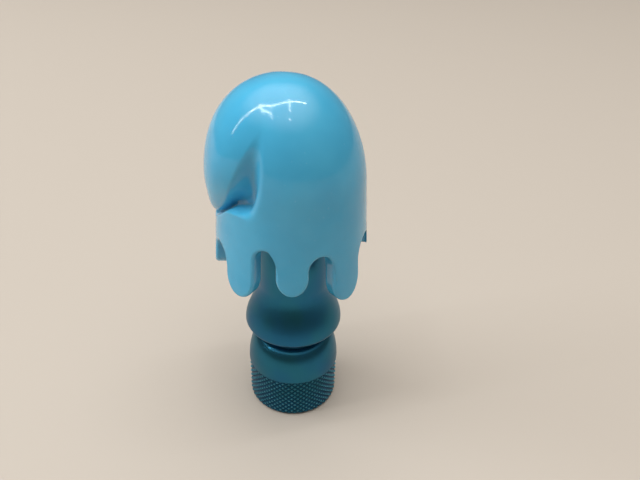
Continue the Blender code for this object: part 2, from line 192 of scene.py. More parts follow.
class Wire:
    # One shader value. Arithmetic on it adds Math nodes to its finish.
    def __init__(self, finish, socket):
        self.finish = finish
        self.socket = socket

    def __add__(self, other):
        return self.finish.maths("ADD", self, other)

    def __mul__(self, other):
        return self.finish.maths("MULTIPLY", self, other)

    def __rsub__(self, other):
        return self.finish.maths("SUBTRACT", other, self)

    __radd__ = __add__
    __rmul__ = __mul__


class Finish:
    # A material. add() makes any node, and set() gives the shader its values or wires.
    def __init__(self, name):
        self.material = bpy.data.materials.new(name)
        self.material.use_nodes = True
        self.tree = self.material.node_tree
        self.shader = self.tree.nodes["Principled BSDF"]
        self.place = self.add("ShaderNodeTexCoord", output="Object")

    def add(self, kind, settings=None, sockets=None, output=0):
        node = self.tree.nodes.new(kind)
        for name, value in (settings or {}).items():
            setattr(node, name, value)
        for name, value in (sockets or {}).items():
            self.feed(node.inputs[name], value)
        return Wire(self, node.outputs[output])

    def feed(self, socket, value):
        if isinstance(value, Wire):
            self.tree.links.new(value.socket, socket)
        else:
            socket.default_value = value

    def set(self, **values):
        for name, value in values.items():
            self.feed(self.shader.inputs[name.replace("_", " ")], value)

    def maths(self, operation, first, second):
        return self.add("ShaderNodeMath", {"operation": operation}, {0: first, 1: second})

    def noise(self, scale, detail, place=None):
        sockets = {"Vector": place or self.place, "Scale": scale, "Detail": detail}
        return self.add("ShaderNodeTexNoise", None, sockets)

    def rings(self, across, along, detail=3.0):
        # noise on coordinates scaled by across in X and Y and by along in Z
        sockets = {0: self.place, 1: (across, across, along)}
        place = self.add("ShaderNodeVectorMath", {"operation": "MULTIPLY"}, sockets)
        return self.noise(1.0, detail, place)

    def patches(self, scale, detail, low, high):
        # noise turned into patches: 0 where it is below low, 1 above high
        wire = self.noise(scale, detail)
        sockets = {"Value": wire, "From Min": low, "From Max": high}
        settings = {"interpolation_type": "SMOOTHSTEP"}
        return self.add("ShaderNodeMapRange", settings, sockets)

    def blend(self, factor, first, second):
        # a colour Mix node, whose colour sockets are inputs 6 and 7 and output 2
        settings = {"data_type": "RGBA"}
        sockets = {0: factor, 6: first, 7: second}
        return self.add("ShaderNodeMix", settings, sockets, 2)

    def attribute(self, name):
        return self.add("ShaderNodeAttribute", {"attribute_name": name}, None, "Fac")

    def bump(self, height, strength, distance):
        sockets = {"Height": height, "Strength": strength, "Distance": distance}
        return self.add("ShaderNodeBump", None, sockets)

    def on(self, obj):
        obj.data.materials.clear()
        obj.data.materials.append(self.material)


def glossVinyl():
    # noise is given as scale and detail, patches also as the two limits of their edge
    look = dict(
        color=(0.072, 0.44, 0.71, 1.0),
        deeper=(0.058, 0.40, 0.67, 1.0),
        dust=(0.55, 0.70, 0.78, 1.0),
        cloudy=(70.0, 3.0, 0.35, 0.65),
        specks=(2300.0, 1.0, 0.765, 0.80),
        smudges=(160.0, 4.0, 0.50, 0.68),
        ripple=(260.0, 1.0),
        rippleStrength=0.25,
        rippleHeight=0.00004,
        dustShare=0.18,
        roughness=0.10,
        smudgeRoughness=0.05,
        speckRoughness=0.25,
        coat=0.3,
        smudgedCoat=0.2,  # taken off the coat in a smudge
        coatRoughness=0.03,
        softness=0.08,
        softRadius=(0.6, 1.0, 1.0),
        softDepth=0.0012,
        ior=1.45,
    )
    finish = Finish("glossVinyl")
    cloudy = finish.patches(*look["cloudy"])
    specks = finish.patches(*look["specks"])
    smudges = finish.patches(*look["smudges"])
    color = finish.blend(cloudy, look["color"], look["deeper"])
    roughness = look["roughness"] + look["smudgeRoughness"] * smudges
    ripple = finish.noise(*look["ripple"])
    finish.set(
        Base_Color=finish.blend(specks * look["dustShare"], color, look["dust"]),
        Roughness=roughness + look["speckRoughness"] * specks,
        Coat_Weight=look["coat"] - look["smudgedCoat"] * smudges,
        Coat_Roughness=look["coatRoughness"],
        Subsurface_Weight=look["softness"],
        Subsurface_Radius=look["softRadius"],
        Subsurface_Scale=look["softDepth"],
        IOR=look["ior"],
        Normal=finish.bump(ripple, look["rippleStrength"], look["rippleHeight"]),
    )
    return finish


def anodised(name, knurlLightPainted=False):
    look = dict(
        color=(0.026, 0.165, 0.255, 1.0),
        bluer=(0.024, 0.150, 0.290, 1.0),
        # painted highlight colour, put on the knurl's tips where light catches them
        paintedTipHighlight=(0.24, 0.72, 0.88, 1.0),
        # painted shade colour, put in the knurl's grooves where shade falls
        groove=(0.008, 0.060, 0.120, 1.0),
        rings=(60.0, 7000.0),
        patches=(90.0, 2.0, 0.35, 0.65),
        grain=(5200.0, 1.0),
        ringShare=0.7,  # of the bump, the rest is grain
        grainShare=0.3,
        # how much painted shade goes into the knurl's grooves
        paintedGrooveShade=0.8,
        tipHighlight=(0.35, 0.5),  # painted highlight on the knurl's tips: everywhere, and more in the patches
        roughness=0.27,
        ringRoughness=0.14,
        patchRoughness=0.06,
        brushed=0.45,
        bumpStrength=0.5,
        bumpHeight=0.000012,
    )
    finish = Finish(name)
    rings = finish.rings(*look["rings"])
    patches = finish.patches(*look["patches"])
    grain = finish.noise(*look["grain"])
    color = finish.blend(patches, look["color"], look["bluer"])
    if knurlLightPainted:
        # painted highlight on the diamonds' tips and painted shade in the grooves: the light and
        # shade that fall on the knurl, put into its colour
        tipHighlight = look["tipHighlight"][0] + look["tipHighlight"][1] * patches
        paintedGrooveShade = finish.attribute("deep") * look["paintedGrooveShade"]
        color = finish.blend(paintedGrooveShade, color, look["groove"])
        color = finish.blend(finish.attribute("tipHighlightMask") * tipHighlight, color, look["paintedTipHighlight"])
    roughness = look["roughness"] + look["ringRoughness"] * rings
    height = look["ringShare"] * rings + look["grainShare"] * grain
    finish.set(
        Base_Color=color,
        Metallic=1.0,
        Roughness=roughness + look["patchRoughness"] * patches,
        Anisotropic=0.0 if knurlLightPainted else look["brushed"],
        Normal=finish.bump(height, look["bumpStrength"], look["bumpHeight"]),
    )
    return finish


def turnedPlastic():
    look = dict(
        color=(0.75, 0.74, 0.70, 1.0),
        shade=(0.66, 0.65, 0.60, 1.0),
        rings=(50.0, 6000.0, 2.0),
        cloudy=(220.0, 3.0),
        roughness=0.42,
        ringRoughness=0.15,
        bumpStrength=0.4,
        bumpHeight=0.00001,
    )
    finish = Finish("acetal")
    rings = finish.rings(*look["rings"])
    cloudy = finish.noise(*look["cloudy"])
    finish.set(
        Base_Color=finish.blend(cloudy, look["color"], look["shade"]),
        Roughness=look["roughness"] + look["ringRoughness"] * rings,
        Normal=finish.bump(rings, look["bumpStrength"], look["bumpHeight"]),
    )
    return finish


def mouldedCore():
    look = dict(
        color=(0.09, 0.27, 0.40, 1.0),
        shade=(0.07, 0.22, 0.34, 1.0),
        spark=(2400.0, 2.0),
        flow=(90.0, 30.0),
        roughness=0.50,
        flowRoughness=0.12,
        bumpStrength=0.35,
        bumpHeight=0.00003,
    )
    finish = Finish("mouldedCore")
    spark = finish.noise(*look["spark"])
    flow = finish.rings(*look["flow"])
    finish.set(
        Base_Color=finish.blend(flow, look["color"], look["shade"]),
        Roughness=look["roughness"] + look["flowRoughness"] * flow,
        Normal=finish.bump(spark, look["bumpStrength"], look["bumpHeight"]),
    )
    return finish


def blackRubber():
    look = dict(
        color=(0.018, 0.018, 0.019, 1.0),
        dusty=(0.060, 0.058, 0.055, 1.0),
        dust=(420.0, 4.0, 0.45, 0.75),
        dustShare=0.5,
        grain=(3800.0, 2.0),
        roughness=0.72,
        dustRoughness=0.15,
        bumpStrength=0.4,
        bumpHeight=0.00003,
    )
    finish = Finish("rubber")
    dust = finish.patches(*look["dust"])
    grain = finish.noise(*look["grain"])
    finish.set(
        Base_Color=finish.blend(look["dustShare"] * dust, look["color"], look["dusty"]),
        Roughness=look["roughness"] + look["dustRoughness"] * dust,
        Normal=finish.bump(grain, look["bumpStrength"], look["bumpHeight"]),
    )
    return finish


def stainless():
    look = dict(
        color=(0.56, 0.55, 0.54, 1.0),
        darker=(0.42, 0.41, 0.40, 1.0),
        rings=(80.0, 9000.0),
        stain=(500.0, 3.0, 0.5, 0.8),
        stainShare=0.6,
        roughness=0.24,
        ringRoughness=0.16,
        bumpStrength=0.4,
        bumpHeight=0.00001,
    )
    finish = Finish("steel")
    rings = finish.rings(*look["rings"])
    stain = finish.patches(*look["stain"])
    finish.set(
        Base_Color=finish.blend(look["stainShare"] * stain, look["color"], look["darker"]),
        Metallic=1.0,
        Roughness=look["roughness"] + look["ringRoughness"] * rings,
        Normal=finish.bump(rings, look["bumpStrength"], look["bumpHeight"]),
    )
    return finish


vinylFinish = glossVinyl()
handleFinish = anodised("anodisedTurned")
# the knurled finish carries a painted highlight on the tips and painted shade in the grooves
knurlFinish = anodised("anodisedKnurled", knurlLightPainted=True)
plasticFinish = turnedPlastic()
coreFinish = mouldedCore()
rubberFinish = blackRubber()
steelFinish = stainless()
print("finishes made")


hood = dict(
    top=92.1 * mm,
    radius=17.85 * mm,
    shoulder=66.8 * mm,  # where the dome meets the skirt
    roundness=2.2,
    flare=0.065,
    wall=2.4 * mm,
    hemWall=3.8 * mm,  # the drips are thicker
    skirtForward=0.55 * mm,
    crownLean=1.4 * mm,
    crownLeanFrom=63.5 * mm,
    lipHeight=60.4 * mm,  # the lobe's edge at the front
    lipClimb=21.0 * mm,
    creaseSpan=(15.0, 95.0),  # bearings over which the edge climbs
    climbPower=1.15,
    pocketBearing=68.5,  # degrees from the front, as all bearings here
    pocketSpread=11.0,
    pocketHang=7.0 * mm,
    creaseDepth=(4.0 * mm, 2.4 * mm),  # outside and inside
    creaseStart=(10.0, 52.0),
    creaseFade=(66.0, 86.0),
    creaseLip=1.0 * mm,
    lobeLip=0.5 * mm,
    hollowRise=1.2 * mm,  # how far up the hollow stays deep, where the crease hangs most
    hollowSoft=8.2 * mm,  # and how far it then takes to roll out to the lobe
    fadeFrom=(58.0, 86.0),  # bearings over which the lobe's edge softens
    fadeSoft=4.5 * mm,
    lobeSwell=2.35 * mm,
    lobeHeight=11.5 * mm,
    lobeRoundness=2.2,
    lobeFade=(42.0, 88.0),
    drips=(  # bearing of the middle, half the width, height of the tip
        (12.0, 4.7 * mm, 44.6 * mm),
        (62.2, 4.4 * mm, 43.8 * mm),
        (103.8, 3.8 * mm, 46.8 * mm),
        (148.2, 4.5 * mm, 42.3 * mm),
        (199.0, 4.5 * mm, 49.6 * mm),
        (242.5, 4.3 * mm, 44.5 * mm),
        (285.5, 4.0 * mm, 46.0 * mm),
        (328.5, 4.4 * mm, 43.2 * mm),
    ),
    # tops of the gaps, in mm, each after the drip in the same place above
    arches=(54.8, 58.2, 56.6, 56.0, 57.0, 55.5, 57.5, 55.6),
    tipStretch=1.25,
    archStretch=1.2,
    outerEdge=0.75 * mm,  # rounding of the hem, outside and inside
    innerEdge=0.45 * mm,
    bandAbove=2.0 * mm,
    skirtBelow=10.0 * mm,  # the skirt is reckoned this far below the lowest drip
    lipAbove=8.0 * mm,  # close rows start above the lobe's edge and end below it
    lipBelow=3.0 * mm,
    lipRoom=13.0 * mm,
    lipRange=(0.3, 0.5),  # least start and end of them, as shares of the way to the band
    bandRoom=1.0 * mm,
    innerBand=0.45,  # share of the inner rows that lie above the band
    thickening=0.4,  # share over which the wall then thickens
    columns=480,
    domeSteps=1200,
    skirtSteps=400,
    curveSteps=60,
    crownRows=56,
    lipRows=46,
    bandRows=10,
    hemRows=30,
    edgeRows=5,
    wallRows=3,
    innerRows=40,
)


def hoodMeridian():
    # dome: height = shoulder + rise cos(t)^(2/n), radius = R sin(t)^(2/n), then a skirt
    # that flares evenly; returned with the distance travelled from the crown
    lowest = min(tip for _, _, tip in hood["drips"])
    turn = np.linspace(0.0, math.pi / 2.0, hood["domeSteps"])
    power = 2.0 / hood["roundness"]
    height = hood["shoulder"] + (hood["top"] - hood["shoulder"]) * np.cos(turn) ** power
    radius = hood["radius"] * np.sin(turn) ** power
    deepest = hood["shoulder"] - lowest + hood["skirtBelow"]
    drop = np.linspace(0.0, deepest, hood["skirtSteps"])[1:]
    radius = np.concatenate([radius, hood["radius"] + hood["flare"] * drop])
    height = np.concatenate([height, hood["shoulder"] - drop])
    steps = np.hypot(np.diff(radius), np.diff(height))
    return radius, height, np.concatenate([[0.0], np.cumsum(steps)])


def hoodEdge():
    # The hem, walked in equal steps: under each drip half an ellipse, over each gap half
    # an ellipse, straight sides between. Returns distance round, height, and the unit
    # normal that points into the wall.
    skirt = hood["radius"] + hood["flare"] * (hood["shoulder"] - hood["arches"][0] * mm)
    sweep = np.linspace(-math.pi / 2.0, math.pi / 2.0, hood["curveSteps"])
    middle, half, tip = np.array(hood["drips"]).T
    arch = np.array(hood["arches"]) * mm
    after = np.append(middle[1:], middle[0] + 360.0)
    left = np.radians(middle) * skirt + half
    right = np.radians(after) * skirt - np.append(half[1:], half[0])
    opening = (right - left) / 2.0
    across = np.stack(
        [
            (left - half)[:, None] + half[:, None] * np.sin(sweep),
            (left + opening)[:, None] + opening[:, None] * np.sin(sweep),
        ],
        1,
    ).ravel()
    tipRise = (hood["tipStretch"] * half)[:, None]
    archRise = (hood["archStretch"] * opening)[:, None]
    height = np.stack(
        [
            tip[:, None] + tipRise - tipRise * np.cos(sweep),
            arch[:, None] - archRise + archRise * np.cos(sweep),
        ],
        1,
    ).ravel()
    around = 2.0 * math.pi * skirt
    across = np.append(across, across[0] + around)
    height = np.append(height, height[0])
    pieces = np.hypot(np.diff(across), np.diff(height))
    walked = np.concatenate([[0.0], np.cumsum(pieces)])
    stops = np.linspace(0.0, walked[-1], hood["columns"], endpoint=False)
    across = np.interp(stops, walked, across)
    height = np.interp(stops, walked, height)
    acrossStep = np.roll(across, -1) - np.roll(across, 1)
    acrossStep = (acrossStep + around / 2.0) % around - around / 2.0
    heightStep = np.roll(height, -1) - np.roll(height, 1)
    size = np.hypot(acrossStep, heightStep)
    return across, height, -heightStep / size, acrossStep / size, skirt


def crease(side):
    # height of the lobe's edge at a bearing either side, and how far it hangs there
    low, high = hood["creaseSpan"]
    share = (side - low) / (high - low)
    climb = smooth(np.clip(share, 0.0, 1.0) ** hood["climbPower"])
    away = (side - hood["pocketBearing"]) / hood["pocketSpread"]
    hang = hood["pocketHang"] * np.exp(-0.5 * away**2)
    return hood["lipHeight"] + hood["lipClimb"] * climb - hang, hang


def hoodPoints(bearing, travelled, depth, swell, creaseDepth):
    # The plain hood, depth inside its skin, moved out over the brow's lobe and in along
    # the crease below it. The lobe's section is a quarter of a superellipse times an
    # S-curve, which holds it back over the hollow and where the edge fades.
    radius, height, length = hoodMeridian()
    slope = np.gradient(height, length)
    outward = np.gradient(radius, length)
    r = np.interp(travelled, length, radius) + depth * np.interp(travelled, length, slope)
    r = np.maximum(r, 0.0)
    z = np.interp(travelled, length, height) - depth * np.interp(travelled, length, outward)
    side = np.abs((np.degrees(bearing) + 180.0) % 360.0 - 180.0)
    creaseHeight, hang = crease(side)
    climb = crease(side + 0.5)[0] - crease(side - 0.5)[0]  # over one degree
    climb = climb / (math.radians(1.0) * hood["radius"])
    above = z - creaseHeight
    rise = 1.0 - np.clip(above / (hang + hood["lobeHeight"]), 0.0, 1.0)
    rise = (1.0 - rise ** hood["lobeRoundness"]) ** (1.0 / hood["lobeRoundness"])
    share = hang / hood["pocketHang"]
    fading = between(side, hood["fadeFrom"])
    width = hood["lobeLip"] + share * hood["hollowSoft"] + fading * hood["fadeSoft"]
    rise = rise * smooth((above - share * hood["hollowRise"]) / width)
    lobe = swell * np.clip(r / hood["radius"], 0.0, 1.0)
    lobe = lobe * (1.0 - between(side, hood["lobeFade"]))
    dent = creaseDepth * between(side, hood["creaseStart"])
    dent = dent * (1.0 - between(side, hood["creaseFade"]))
    lip = hood["creaseLip"] + 0.5 * hood["fadeSoft"] * fading
    below = smooth(-above / np.sqrt(1.0 + climb**2) / lip)
    r = r + np.where(above > 0.0, (lobe + dent) * rise - dent, dent * (below - 1.0))
    crownShare = between(z, (hood["crownLeanFrom"], hood["top"]))
    lean = hood["skirtForward"] + hood["crownLean"] * crownShare
    return np.stack([r * np.sin(bearing), -r * np.cos(bearing) - lean, z], -1)


def steps(start, end, count):
    share = np.linspace(0.0, 1.0, count + 1)[1:, None]
    return start + share * (end - start)


def buildHood():
    # Outer skin from the crown to the hem, round the hem's soft edge, and up the inside.
    # Columns come down meridians, then swing to even places along the hem.
    _, height, length = hoodMeridian()
    across, edgeHeight, normalAcross, normalUp, skirt = hoodEdge()
    columns = np.linspace(0.0, 2.0 * math.pi, hood["columns"], endpoint=False)
    columns = columns + across[0] / skirt
    side = np.abs((np.degrees(columns) + 180.0) % 360.0 - 180.0)
    bandHeight = max(hood["arches"]) * mm + hood["bandAbove"]
    band = np.interp(-bandHeight, -height, length)
    lowest = np.interp(-crease(side)[0], -height, length)
    lipTop = lowest - hood["lipAbove"]
    lipTop = np.clip(lipTop, hood["lipRange"][0] * band, band - hood["lipRoom"])
    lipEnd = lowest + hood["lipBelow"]
    lipEnd = np.clip(lipEnd, hood["lipRange"][1] * band, band - hood["bandRoom"])
    bandRow = np.full(hood["columns"], band)

    def hemRow(inset):
        # the hem moved into the wall's face by inset, as bearings and distances travelled
        bearing = (across + inset * normalAcross) / skirt
        return bearing, np.interp(-(edgeHeight + inset * normalUp), -height, length)

    outerBearing, outerHem = hemRow(hood["outerEdge"])
    outside = hood["lobeSwell"], hood["creaseDepth"][0]
    inside = 0.0, hood["creaseDepth"][1]
    crown = steps(0.0, lipTop, hood["crownRows"])
    lip = steps(lipTop, lipEnd, hood["lipRows"])
    upper = np.concatenate([crown, lip, steps(lipEnd, bandRow, hood["bandRows"])])
    swing = smooth(steps(0.0, 1.0, hood["hemRows"]))
    lower = steps(bandRow, outerHem, hood["hemRows"])
    outer = np.concatenate(
        [
            hoodPoints(np.repeat(columns[None], len(upper), 0), upper, 0.0, *outside),
            hoodPoints(columns + swing * (outerBearing - columns), lower, 0.0, *outside),
        ]
    )

    turn = np.linspace(0.0, math.pi / 2.0, hood["edgeRows"] + 1)
    flatEnd = hood["hemWall"] - hood["innerEdge"]
    flatRows = np.linspace(hood["outerEdge"], flatEnd, hood["wallRows"] + 2)
    insets = np.concatenate(
        [
            hood["outerEdge"] * (1.0 - np.sin(turn))[1:],
            np.zeros(hood["wallRows"]),
            hood["innerEdge"] * (1.0 - np.cos(turn)),
        ]
    )
    depths = np.concatenate(
        [
            hood["outerEdge"] * (1.0 - np.cos(turn))[1:],
            flatRows[1:-1],
            hood["hemWall"] - hood["innerEdge"] * (1.0 - np.sin(turn)),
        ]
    )
    edgeBearing, edgeTravelled = hemRow(insets[:, None])
    edge = hoodPoints(edgeBearing, edgeTravelled, depths[:, None], *inside)

    innerBearing, innerHem = edgeBearing[-1], edgeTravelled[-1]
    share = np.linspace(1.0, 0.0, hood["innerRows"] + 1)[1:-1, None]
    atBand = hood["innerBand"]
    down = (share - atBand) / (1.0 - atBand)
    reach = np.where(share > atBand, band + (innerHem - band) * down, band * share / atBand)
    swingBack = columns + smooth(down) * (innerBearing - columns)
    thicker = smooth((share - atBand) / hood["thickening"])
    wall = hood["wall"] + (hood["hemWall"] - hood["wall"]) * thicker
    inner = hoodPoints(swingBack, reach, wall, *inside)

    rows = np.concatenate([outer, edge, inner])
    crownY = -hood["skirtForward"] - hood["crownLean"]
    poles = [(0.0, crownY, hood["top"]), (0.0, crownY, hood["top"] - hood["wall"])]
    return gridObject("hoodShell", rows, poles=poles)


hoodShell = addPiece(buildHood(), "head", "gloss_vinyl", "head_shell")
vinylFinish.on(hoodShell)
print("hood built:", len(hoodShell.data.polygons), "faces")


handle = dict(
    baseRadius=12.4 * mm,
    seamHeight=12.5 * mm,
    waist=(8.6 * mm, 21.6 * mm),
    bulge=(12.9 * mm, 26.6 * mm),
    neck=(9.1 * mm, 38.4 * mm),
    neckTop=60.0 * mm,
    postRadius=5.0 * mm,
    postTop=75.0 * mm,
    screwHole=2.3 * mm,
    screwHoleBottom=66.3 * mm,
    dragHeight=68.0 * mm,
    dragSize=0.5 * mm,
    studRadius=8.0 * mm,
    studBottom=5.2 * mm,
    sealHeight=10.3 * mm,
    sealSize=0.65 * mm,
    threadPitch=1.25 * mm,
    threadDepth=0.55 * mm,
    threadBelow=0.2 * mm,  # from the seal's groove down to the thread
    threadEnd=0.5 * mm,  # and from the thread down to the stud's end
    rowGap=0.05 * mm,
    leadIn=(0.6 * mm, 0.3 * mm),  # the stud's chamfer, across and up
    seamEdge=0.12 * mm,
    edge=0.4 * mm,
    fineEdge=0.08 * mm,
    endEdge=0.15 * mm,
    neckEvenFrom=1.0 * mm,  # rows down the neck start this far below its top
    neckRows=12,
    flareRows=60,
    waistRows=36,
    shoulderRows=44,
    threadRows=56,
    columns=256,
)


def buildHandle():
    # screw hole, post, neck, bulge, waist, shoulder and threaded stud, as one section
    h = handle
    post = softCorners(
        [
            (0.0, h["screwHoleBottom"]),
            (h["screwHole"], h["screwHoleBottom"]),
            (h["screwHole"], h["postTop"]),
            (h["postRadius"], h["postTop"]),
            *grooveCorners(h["postRadius"], h["dragHeight"], h["dragSize"]),
            (h["postRadius"], h["neckTop"]),
            (h["neck"][0], h["neckTop"]),
            h["neck"],
        ],
        h["edge"],
    )
    neckTop = h["neckTop"] - h["neckEvenFrom"]
    neckRows = np.linspace(neckTop, h["neck"][1], h["neckRows"] + 1)[:-1]
    neck = np.stack([np.full(h["neckRows"], h["neck"][0]), neckRows], -1)
    shoulderFoot = (h["baseRadius"], h["seamHeight"] + h["seamEdge"])
    threadTop = h["sealHeight"] - h["sealSize"] - gap - h["threadBelow"]
    threadBottom = h["studBottom"] + h["threadEnd"]
    foot = softCorners(
        [
            shoulderFoot,
            (h["baseRadius"], h["seamHeight"]),
            (h["studRadius"], h["seamHeight"]),
            *grooveCorners(h["studRadius"], h["sealHeight"], h["sealSize"]),
            (h["studRadius"], threadTop + h["rowGap"]),
        ],
        h["fineEdge"],
        2,
    )
    threadRows = np.linspace(threadTop, threadBottom, h["threadRows"])
    thread = np.stack([np.full(len(threadRows), h["studRadius"]), threadRows], -1)
    end = softCorners(
        [
            (h["studRadius"], threadBottom - h["rowGap"]),
            (h["studRadius"], h["studBottom"] + h["leadIn"][1]),
            (h["studRadius"] - h["leadIn"][0], h["studBottom"]),
            (0.0, h["studBottom"]),
        ],
        h["endEdge"],
    )
    section = np.concatenate(
        [
            post[:-1],
            neck,
            sCurve(h["neck"], h["bulge"], h["flareRows"]),
            sCurve(h["bulge"], h["waist"], h["waistRows"])[1:],
            dome(h["waist"], shoulderFoot, h["shoulderRows"])[1:],
            foot[1:],
            thread,
            end,
        ]
    )

    def relief(angle, radius, height):
        onStud = np.abs(radius - h["studRadius"]) < onSurface
        size = h["threadPitch"], h["threadDepth"]
        return onStud * threadCut(angle, height, *size, threadBottom, threadTop)

    return turnedObject("handleBody", section, h["columns"], relief=relief)


handleBody = addPiece(buildHandle(), "handle", "anodised", "handle_body")
handleFinish.on(handleBody)

cap = dict(
    radius=12.4 * mm,
    top=12.45 * mm,
    bottom=0.4 * mm,
    cupRadius=8.3 * mm,
    cupFloor=3.8 * mm,
    recessRadius=10.3 * mm,
    recessTop=1.8 * mm,
    chamfer=0.5 * mm,
    topChamfer=0.12 * mm,
    diamondsRound=47,
    diamondHeight=1.55 * mm,
    knurlDepth=0.42 * mm,
    tipFlat=0.10,
    tipHighlightDepth=0.35,  # share of the knurl's depth, from the tips, that gets the painted highlight
    grooveShadeFrom=0.6,  # more keeps the painted shade deeper in the grooves
    bottomEdge=0.1 * mm,
    topEdge=0.08 * mm,
    threadDepth=0.5 * mm,
    threadBottom=5.2 * mm,
    threadTop=9.2 * mm,
    threadRows=56,
    plainWall=1.0 * mm,  # up from the cup's floor, below the thread's rows
    cupEdge=0.3 * mm,
    rimLand=(0.5 * mm, 0.1 * mm),  # flat top's last two corners, in from the knurl
    rimEdge=0.05 * mm,
    underEdge=0.08 * mm,
    sharpFrom=22.0,
    samples=8,  # grid steps across a diamond, both ways
)


def knurl(angle, height):
    # Two families of V grooves cross: along round + up and along round - up, counted in
    # diamonds. The depth is the deeper of the two, with the tips cut flat.
    c = cap
    around = angle * c["diamondsRound"] / (2.0 * math.pi)
    up = height / c["diamondHeight"]
    deeper = np.maximum(
        np.abs(2.0 * ((around + up) % 1.0) - 1.0),
        np.abs(2.0 * ((around - up) % 1.0) - 1.0),
    )
    return np.maximum(deeper - c["tipFlat"], 0.0) / (1.0 - c["tipFlat"])


def buildCap():
    c = cap
    rowStep = c["diamondHeight"] / c["samples"]
    first = math.ceil(c["bottom"] / rowStep) + 1
    levels = np.arange(first, math.floor(c["top"] / rowStep) + 1) * rowStep
    levels = levels[levels > c["bottom"] + c["bottomEdge"]]
    levels = levels[levels < c["top"] - c["topEdge"]][::-1]
    band = np.stack([np.full(len(levels), c["radius"]), levels], -1)
    cup = softCorners(
        [
            (0.0, c["cupFloor"]),
            (c["cupRadius"], c["cupFloor"]),
            (c["cupRadius"], c["cupFloor"] + c["plainWall"]),
        ],
        c["cupEdge"],
    )
    wallFoot = c["cupFloor"] + c["plainWall"]
    wallRows = np.linspace(wallFoot, c["threadTop"], c["threadRows"])[1:]
    wall = np.stack([np.full(len(wallRows), c["cupRadius"]), wallRows], -1)
    rim = softCorners(
        [
            (c["cupRadius"], c["threadTop"] + 2.0 * c["rimEdge"]),
            (c["cupRadius"], c["top"] - c["cupEdge"]),
            (c["cupRadius"] + c["cupEdge"], c["top"]),
            (c["radius"] - c["rimLand"][0], c["top"]),
            (c["radius"] - c["rimLand"][1], c["top"]),
            (c["radius"], c["top"] - c["rimEdge"]),
        ],
        c["rimEdge"],
        2,
    )
    under = softCorners(
        [
            (c["radius"], c["bottom"] + c["bottomEdge"]),
            (c["radius"], c["bottom"]),
            (c["recessRadius"], c["bottom"]),
            (c["recessRadius"], c["recessTop"]),
            (0.0, c["recessTop"]),
        ],
        c["underEdge"],
        2,
    )
    section = np.concatenate([cup, wall, rim, band, under])

    def relief(angle, radius, height):
        # outside: the knurl, or the chamfer where that cuts deeper; inside: the thread
        outside = radius > c["radius"] - c["topChamfer"]
        low = np.maximum(c["bottom"] + c["chamfer"] - height, 0.0)
        high = np.maximum(height - c["top"] + c["topChamfer"], 0.0)
        cut = np.maximum(c["knurlDepth"] * knurl(angle, height), low + high)
        inCup = np.abs(radius - c["cupRadius"]) < onSurface
        size = handle["threadPitch"], c["threadDepth"]
        thread = threadCut(angle, height, *size, c["threadBottom"], c["threadTop"])
        return outside * cut - inCup * thread

    columns = c["diamondsRound"] * c["samples"]
    obj = turnedObject("knurledCap", section, columns, relief=relief)
    count = len(obj.data.vertices)
    place = np.empty(count * 3, np.float32)
    obj.data.vertices.foreach_get("co", place)
    x, y = place.reshape(-1, 3)[:, :2].T
    depth = (c["radius"] - np.hypot(x, y)) / c["knurlDepth"]
    # masks by depth into the knurl: painted highlight on the tips, painted shade deep in the
    # grooves
    tipHighlight = np.clip(1.0 - depth / c["tipHighlightDepth"], 0.0, 1.0)
    grooveShadeMask = np.clip(depth * (1.0 + c["grooveShadeFrom"]) - c["grooveShadeFrom"], 0.0, 1.0)
    for attribute, values in (("tipHighlightMask", tipHighlight), ("deep", grooveShadeMask)):
        data = obj.data.attributes.new(attribute, "FLOAT", "POINT").data
        data.foreach_set("value", values.astype(np.float32))
    obj.data.set_sharp_from_angle(angle=math.radians(c["sharpFrom"]))
    return obj


knurledCap = addPiece(buildCap(), "base", "anodised", "base_cap")
knurlFinish.on(knurledCap)
turnedFaces = len(handleBody.data.polygons) + len(knurledCap.data.polygons)
print("handle and cap built:", turnedFaces, "faces")


smallColumns = 128  # round a ring, a washer or the bush

foot = dict(
    radius=10.0 * mm,
    thickness=1.5 * mm,
    grooves=(3.0 * mm, 5.0 * mm, 7.0 * mm),  # radii of their middles
    grooveDepth=0.25 * mm,
    grooveWidth=0.8 * mm,
    edge=0.2 * mm,
    columns=128,
)


def buildFoot():
    # a rubber disc with shallow round grooves in the face it stands on
    f = foot
    corners = [(0.0, f["thickness"]), (f["radius"], f["thickness"]), (f["radius"], 0.0)]
    for middle in f["grooves"][::-1]:
        out, inside = middle + f["grooveWidth"] / 2.0, middle - f["grooveWidth"] / 2.0
        corners += [(out, 0.0), (out, f["grooveDepth"])]
        corners += [(inside, f["grooveDepth"]), (inside, 0.0)]
    corners.append((0.0, 0.0))
    return turnedObject("footPad", softCorners(corners, f["edge"]), f["columns"])


rubberFinish.on(addPiece(buildFoot(), "base", "rubber", "foot_pad"))

rings = dict(  # node, then the handle's values: radius of the wall, height, half thickness
    studSeal=("stud_seal", "studRadius", "sealHeight", "sealSize"),
    dragRing=("drag_ring", "postRadius", "dragHeight", "dragSize"),
)
for name, (node, *keys) in rings.items():
    wall, height, size = [handle[key] for key in keys]
    ring = turnedObject(name, roundSection(wall - size, height, size), smallColumns, True)
    rubberFinish.on(addPiece(ring, "handle", "rubber", node))

